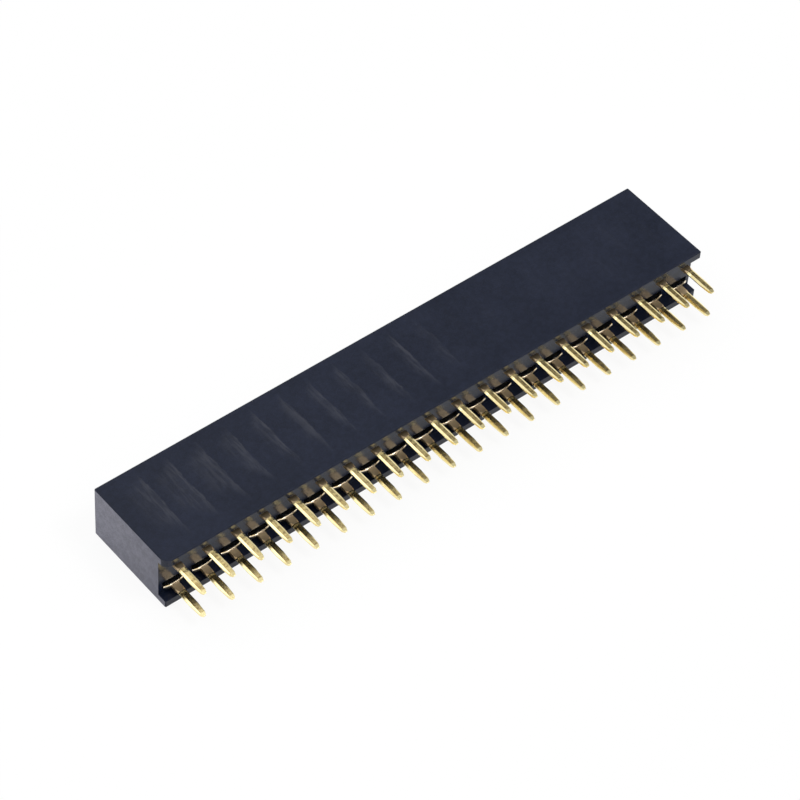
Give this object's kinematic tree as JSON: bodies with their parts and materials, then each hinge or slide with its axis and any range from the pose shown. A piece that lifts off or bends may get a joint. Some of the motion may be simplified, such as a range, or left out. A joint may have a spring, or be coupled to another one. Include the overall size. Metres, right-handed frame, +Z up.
{
  "type": "dual-row socket strip",
  "caption": "Female pin header strip: a long black moulded housing holding a double row of stamped, gold-plated contacts whose flat solder tails stand out of the board side.",
  "frame": {"origin": "under the middle of the strip's box, tails included, on the surface that the strip lies on", "axes": "+X along the strip, +Y out of the mating face, -Y towards the solder tails, +Z up from the long side that the strip lies on"},
  "size_m": [0.0508, 0.0114, 0.005],
  "materials": {
    "housing": "black moulded plastic, satin on the sides and glossier in the board-side channel",
    "contact": "gold plated"
  },
  "bodies": {
    "root": {"housing": "housing", "contact_lower_01": "contact", "contact_lower_02": "contact", "contact_lower_03": "contact", "contact_lower_04": "contact", "contact_lower_05": "contact", "contact_lower_06": "contact", "contact_lower_07": "contact", "contact_lower_08": "contact", "contact_lower_09": "contact", "contact_lower_10": "contact", "contact_lower_11": "contact", "contact_lower_12": "contact", "contact_lower_13": "contact", "contact_lower_14": "contact", "contact_lower_15": "contact", "contact_lower_16": "contact", "contact_lower_17": "contact", "contact_lower_18": "contact", "contact_lower_19": "contact", "contact_lower_20": "contact", "contact_upper_01": "contact", "contact_upper_02": "contact", "contact_upper_03": "contact", "contact_upper_04": "contact", "contact_upper_05": "contact", "contact_upper_06": "contact", "contact_upper_07": "contact", "contact_upper_08": "contact", "contact_upper_09": "contact", "contact_upper_10": "contact", "contact_upper_11": "contact", "contact_upper_12": "contact", "contact_upper_13": "contact", "contact_upper_14": "contact", "contact_upper_15": "contact", "contact_upper_16": "contact", "contact_upper_17": "contact", "contact_upper_18": "contact", "contact_upper_19": "contact", "contact_upper_20": "contact"}
  },
  "joints": []
}
